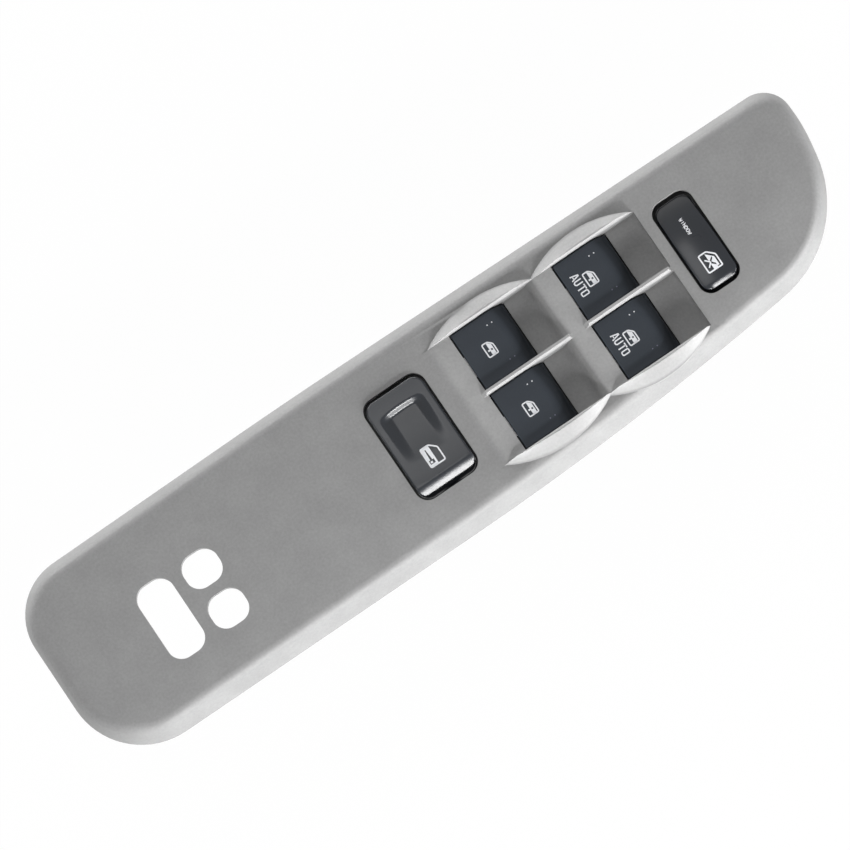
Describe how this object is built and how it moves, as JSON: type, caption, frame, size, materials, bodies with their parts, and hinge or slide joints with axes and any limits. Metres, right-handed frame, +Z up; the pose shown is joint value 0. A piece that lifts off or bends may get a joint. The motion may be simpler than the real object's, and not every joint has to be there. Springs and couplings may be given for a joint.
{
  "type": "power window switch",
  "caption": "Driver's door master switch panel: a long grey trim plate with sprung window keys in finger scoops, a door lock rocker and a latching window lock-out rocker.",
  "frame": {"origin": "middle of the panel in plan, on the plane of the switch box's cover that the part rests on", "axes": "+X to the nose of the panel (forward in the car), +Y to the door side, +Z up out of the armrest"},
  "size_m": [0.301, 0.071, 0.0368],
  "materials": {
    "grey_trim": "fine moulded grain, satin",
    "key_black": "satin black with pale printed pictograms",
    "gloss_black": "smooth semi-gloss black",
    "black_plastic": "plain moulded",
    "board_green": "solder resist over glass laminate",
    "chip_black": "moulded epoxy",
    "lamp_white": "clear lens",
    "header_white": "natural nylon",
    "slider_white": "natural acetal",
    "contact_brass": "bright plated",
    "clip_steel": "blued spring steel",
    "screw_steel": "zinc plated"
  },
  "bodies": {
    "panel": {"bezel": "grey_trim", "window_housing": "black_plastic", "housing_cover": "black_plastic", "lock_housing": "black_plastic", "lock_base": "black_plastic", "circuit_board": "board_green", "control_chip": "chip_black", "chip_resistors": "chip_black", "night_lamps": "lamp_white", "board_contacts": "contact_brass", "connector_shell": "header_white", "connector_pins": "contact_brass", "lock_terminals": "contact_brass", "housing_screws": "screw_steel", "lock_screws": "screw_steel", "bezel_clips": "clip_steel", "lock_spring": "clip_steel", "rear_left_spring": "clip_steel", "rear_right_spring": "clip_steel", "front_left_spring": "clip_steel", "front_right_spring": "clip_steel", "lockout_spring": "clip_steel"},
    "rear_left_key_body": {"rear_left_key": "key_black"},
    "rear_left_slider_body": {"rear_left_slider": "slider_white", "rear_left_bridge": "contact_brass"},
    "rear_right_key_body": {"rear_right_key": "key_black"},
    "rear_right_slider_body": {"rear_right_slider": "slider_white", "rear_right_bridge": "contact_brass"},
    "front_left_key_body": {"front_left_key": "key_black"},
    "front_left_slider_body": {"front_left_slider": "slider_white", "front_left_bridge": "contact_brass"},
    "front_right_key_body": {"front_right_key": "key_black"},
    "front_right_slider_body": {"front_right_slider": "slider_white", "front_right_bridge": "contact_brass"},
    "lock_rocker_body": {"lock_rocker": "gloss_black"},
    "lock_slider_body": {"lock_slider": "slider_white", "lock_bridge": "contact_brass"},
    "lockout_rocker_body": {"lockout_rocker": "gloss_black"},
    "lockout_slider_body": {"lockout_slider": "slider_white", "lockout_bridge": "contact_brass"}
  },
  "joints": [
    {"name": "rear_left_press", "type": "hinge", "parent": "panel", "child": "rear_left_key_body", "pos_m": [0.02225, 0.0106, 0.0302], "axis": [0, 1, 0], "range_deg": [-6, 6], "stiffness_Nm_per_rad": 0.5},
    {"name": "rear_left_slide", "type": "slide", "parent": "panel", "child": "rear_left_slider_body", "axis": [1, 0, 0], "range_m": [-0.002, 0.002]},
    {"name": "rear_right_press", "type": "hinge", "parent": "panel", "child": "rear_right_key_body", "pos_m": [0.02225, -0.0128, 0.0302], "axis": [0, 1, 0], "range_deg": [-6, 6], "stiffness_Nm_per_rad": 0.5},
    {"name": "rear_right_slide", "type": "slide", "parent": "panel", "child": "rear_right_slider_body", "axis": [1, 0, 0], "range_m": [-0.002, 0.002]},
    {"name": "front_left_press", "type": "hinge", "parent": "panel", "child": "front_left_key_body", "pos_m": [0.06205, 0.0106, 0.0302], "axis": [0, 1, 0], "range_deg": [-6, 6], "stiffness_Nm_per_rad": 0.5},
    {"name": "front_left_slide", "type": "slide", "parent": "panel", "child": "front_left_slider_body", "axis": [1, 0, 0], "range_m": [-0.002, 0.002]},
    {"name": "front_right_press", "type": "hinge", "parent": "panel", "child": "front_right_key_body", "pos_m": [0.06205, -0.0128, 0.0302], "axis": [0, 1, 0], "range_deg": [-6, 6], "stiffness_Nm_per_rad": 0.5},
    {"name": "front_right_slide", "type": "slide", "parent": "panel", "child": "front_right_slider_body", "axis": [1, 0, 0], "range_m": [-0.002, 0.002]},
    {"name": "lock_rock", "type": "hinge", "parent": "panel", "child": "lock_rocker_body", "pos_m": [-0.0086, -0.0004, 0.029], "axis": [1, 0, 0], "range_deg": [-5, 5], "stiffness_Nm_per_rad": 0.6},
    {"name": "lock_slide", "type": "slide", "parent": "panel", "child": "lock_slider_body", "axis": [0, 1, 0], "range_m": [-0.002, 0.002]},
    {"name": "lockout_rock", "type": "hinge", "parent": "panel", "child": "lockout_rocker_body", "pos_m": [0.1002, 0.0018, 0.029], "axis": [1, 0, 0], "range_deg": [0, 8]},
    {"name": "lockout_slide", "type": "slide", "parent": "panel", "child": "lockout_slider_body", "axis": [0, 1, 0], "range_m": [0, 0.0025]}
  ],
  "couplings": [
    {"joint": "rear_left_slide", "follows": "rear_left_press", "m_per_rad": -0.0175},
    {"joint": "rear_right_slide", "follows": "rear_right_press", "m_per_rad": -0.0175},
    {"joint": "front_left_slide", "follows": "front_left_press", "m_per_rad": -0.0175},
    {"joint": "front_right_slide", "follows": "front_right_press", "m_per_rad": -0.0175},
    {"joint": "lock_slide", "follows": "lock_rock", "m_per_rad": 0.0119},
    {"joint": "lockout_slide", "follows": "lockout_rock", "m_per_rad": 0.0163}
  ]
}
